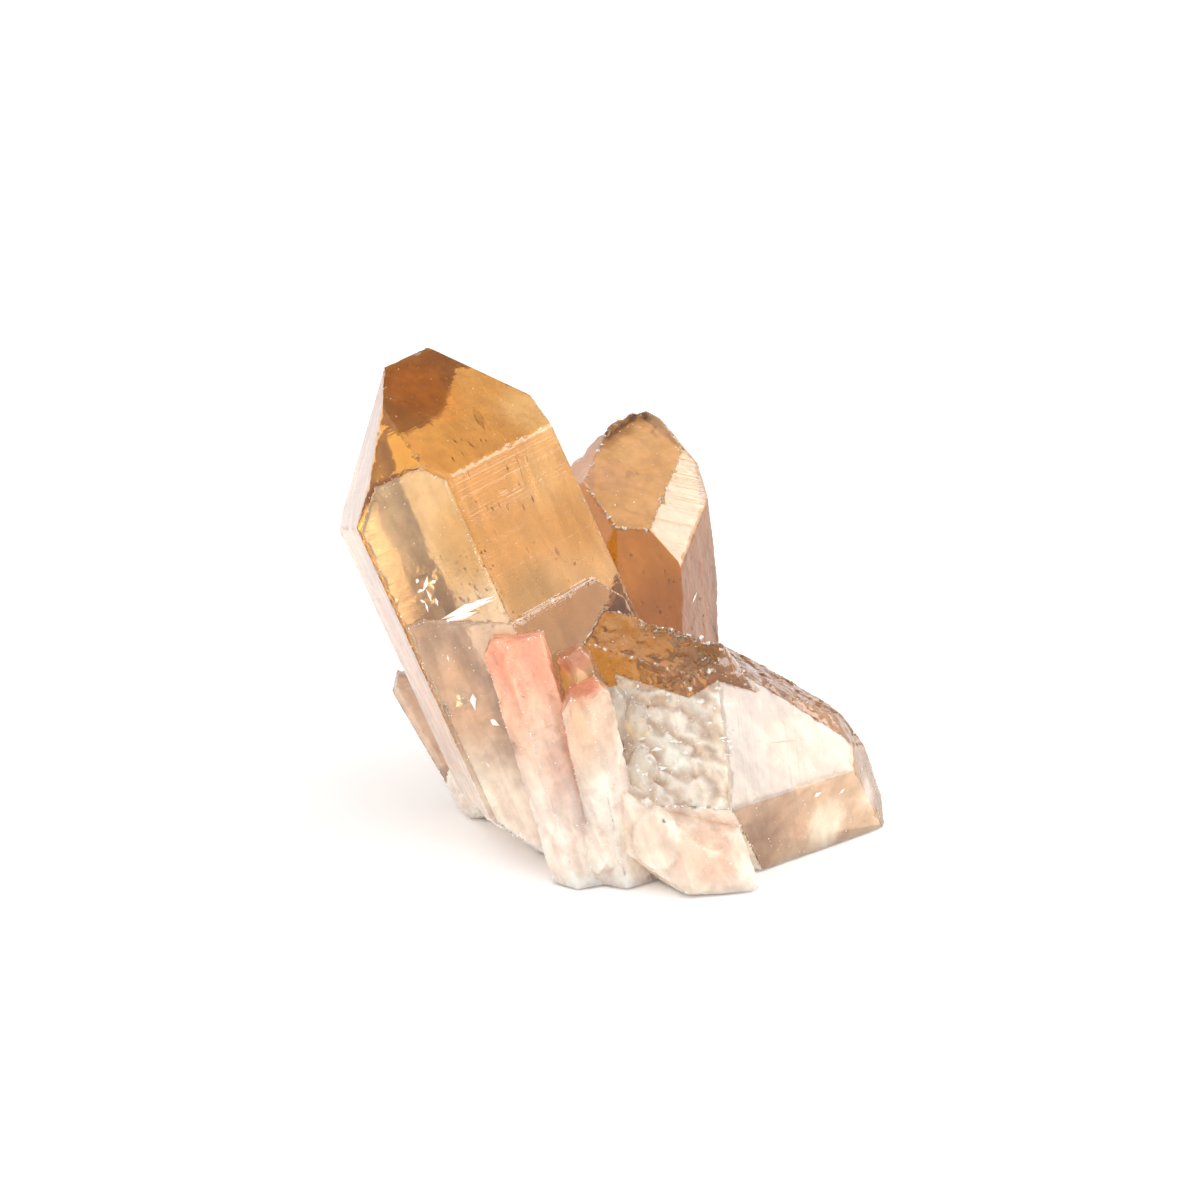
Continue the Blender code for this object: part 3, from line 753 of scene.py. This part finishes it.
def studio():
    world = bpy.data.worlds.new("studio")
    bpy.context.scene.world = world
    world.use_nodes = True
    nodes, links = world.node_tree.nodes, world.node_tree.links
    towards = nodes.new("ShaderNodeVectorMath")
    towards.operation = "DOT_PRODUCT"
    towards.inputs[1].default_value = Vector(DARK_SKY).normalized()
    links.new(nodes.new("ShaderNodeTexCoord").outputs["Generated"], towards.inputs[0])
    sky = nodes.new("ShaderNodeMapRange")
    sky.interpolation_type = "SMOOTHSTEP"
    for key, value in (("From Min", 0.78), ("From Max", 0.93), ("To Min", 1.4), ("To Max", 0.3)):
        sky.inputs[key].default_value = value
    links.new(towards.outputs["Value"], sky.inputs["Value"])
    nodes["Background"].inputs["Color"].default_value = (1, 1, 1, 1)
    links.new(sky.outputs[0], nodes["Background"].inputs["Strength"])
    soft_light("key_light", (0.771, 0.245, 0.589), 0.6, 0.46, 0.22, 5.0, (-0.12, 0.51, -0.05))
    mesh = bpy.data.meshes.new("floor")
    corners = [(x, y, FLOOR_HEIGHT) for x, y in ((-3, -3), (3, -3), (3, 3), (-3, 3))]
    mesh.from_pydata(corners, [], [(0, 1, 2, 3)])
    floor = bpy.data.objects.new("floor", mesh)
    bpy.context.scene.collection.objects.link(floor)
    white = bpy.data.materials.new("floor_white")
    white.use_nodes = True
    shader = white.node_tree.nodes["Principled BSDF"]
    shader.inputs["Base Color"].default_value = (1, 1, 1, 1)
    shader.inputs["Roughness"].default_value = 0.9
    mesh.materials.append(white)
    bpy.context.scene.view_settings.view_transform = "Standard"


# The turn of the main crystal's axes, which the streaks inside the quartz run along.
GROWTH = standing(CRYSTALS["main"]).to_euler()


class Nodes:
    """Adds nodes to a material and links them as they are made."""

    def __init__(self, name):
        self.mat = bpy.data.materials.new(name)
        self.mat.use_nodes = True
        self.tree = self.mat.node_tree
        self.shader = self.tree.nodes["Principled BSDF"]
        self.output = self.tree.nodes["Material Output"]

    def add(self, kind, settings=None, **inputs):
        node = self.tree.nodes.new("ShaderNode" + kind)
        for key, value in (settings or {}).items():
            setattr(node, key, value)
        for key, value in inputs.items():
            self.feed(node, key, value)
        return node

    def feed(self, node, key, value):
        sockets = [s for s in node.inputs if s.enabled]
        if key.startswith("in"):
            socket = sockets[int(key[2:])]
        else:
            wanted = key.replace("_", " ")
            socket = next(s for s in sockets if s.name == wanted)
        if isinstance(value, bpy.types.NodeSocket):
            self.tree.links.new(value, socket)
        else:
            socket.default_value = value

    def attribute(self, name, output="Fac"):
        return self.add("Attribute", dict(attribute_name=name)).outputs[output]

    def math(self, operation, a, b=0.0, clamp=False):
        return self.add("Math", dict(operation=operation, use_clamp=clamp), in0=a, in1=b).outputs[0]

    def ramp(self, value, low, high, start=0.0, end=1.0):
        settings = dict(interpolation_type="SMOOTHSTEP")
        made = self.add("MapRange", settings, Value=value, From_Min=low, From_Max=high, To_Min=start, To_Max=end)
        return made.outputs[0]

    def mix(self, share, a, b, blend="MIX"):
        settings = dict(data_type="RGBA", blend_type=blend)
        return self.add("Mix", settings, Factor=share, A=a, B=b).outputs[2]

    def noise(self, where, scale, detail=3.0, roughness=0.55, distortion=0.0):
        made = self.add(
            "TexNoise", None, Vector=where, Scale=scale, Detail=detail, Roughness=roughness,
            Distortion=distortion,
        )
        return made.outputs[0]


def quartz():
    """Clear to milky quartz, tinted where the mesh says, with mottling, specks, growth lines and etched pits."""
    n = Nodes("citrine_quartz")
    place = n.add("TexCoord").outputs["Object"]
    where = n.add("VectorMath", dict(operation="SCALE"), in0=place, Scale=1000.0).outputs[0]
    tint, cloud = n.attribute("tint", "Color"), n.attribute("cloud")
    rough, etch, along = n.attribute("rough"), n.attribute("etch"), n.attribute("along")
    blotch = n.noise(where, 0.42, 3.0, 0.62, 0.2)
    grain = n.noise(where, 1.5, 2.0, 0.6)
    grown = n.add("Mapping", dict(vector_type="TEXTURE"), Vector=where, Rotation=GROWTH, Scale=(1, 1, 4)).outputs[0]
    streak = n.noise(grown, 0.55, 3.0, 0.6, 0.5)
    shade = n.math("MULTIPLY", n.ramp(blotch, 0.35, 0.68, 0.94, 1.02), n.ramp(streak, 0.35, 0.65, 0.84, 1.06))
    grey = n.add("CombineColor", None, Red=shade, Green=shade, Blue=shade).outputs[0]
    colour = n.mix(1.0, tint, grey, "MULTIPLY")
    n.feed(n.shader, "Base_Color", colour)
    n.shader.inputs["IOR"].default_value = 1.544
    n.shader.inputs["Subsurface Weight"].default_value = 1.0
    n.shader.inputs["Subsurface Radius"].default_value = (1.0, 0.9, 0.8)
    n.shader.inputs["Subsurface Scale"].default_value = 0.003
    haze = n.math("MULTIPLY", cloud, n.ramp(blotch, 0.3, 0.7, 0.9, 1.08), clamp=True)
    n.feed(n.shader, "Transmission_Weight", n.math("SUBTRACT", 1.0, haze, clamp=True))
    n.feed(n.shader, "Roughness", n.math("ADD", rough, n.ramp(grain, 0.35, 0.75, 0.0, 0.05)))
    rings = n.noise(n.add("CombineXYZ", None, Z=along).outputs[0], 2.2, 2.0, 0.65)
    lines = n.math("MULTIPLY", rings, 0.25)
    height = n.math("ADD", lines, n.math("MULTIPLY", grain, etch))
    bumps = n.add("Bump", None, Strength=0.5, Distance=0.0003, Height=height).outputs[0]
    n.feed(n.shader, "Normal", bumps)
    absorb = n.add("VolumeAbsorption", None, Color=(0.82, 0.58, 0.25, 1), Density=16.0).outputs[0]
    n.tree.links.new(absorb, n.output.inputs["Volume"])
    return n.mat


def fleck_finish():
    """Bright broken quartz, white bits that also paint highlights and glints, and rusty grains: plain glossy bits,
    clear where the mesh says.
    """
    n = Nodes("citrine_fleck")
    place = n.add("TexCoord").outputs["Object"]
    where = n.add("VectorMath", dict(operation="SCALE"), in0=place, Scale=1000.0).outputs[0]
    shade = n.ramp(n.noise(where, 3.0, 2.0), 0.3, 0.7, 0.9, 1.0)
    grey = n.add("CombineColor", None, Red=shade, Green=shade, Blue=shade).outputs[0]
    n.feed(n.shader, "Base_Color", n.mix(1.0, n.attribute("tint", "Color"), grey, "MULTIPLY"))
    n.feed(n.shader, "Transmission_Weight", n.math("SUBTRACT", 1.0, n.attribute("cloud"), clamp=True))
    n.feed(n.shader, "Roughness", n.attribute("rough"))
    n.shader.inputs["IOR"].default_value = 1.544
    return n.mat


small_bits = bmesh.new()
small_bits.faces.layers.int.new("look")
crystals = dressed(small_bits)
crystals.data.materials.append(quartz())
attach(crystals, "root")
flecks = flecked(small_bits)
flecks.data.materials.append(fleck_finish())
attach(flecks, "root")
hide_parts("citrine_cluster")
place_camera()
studio()
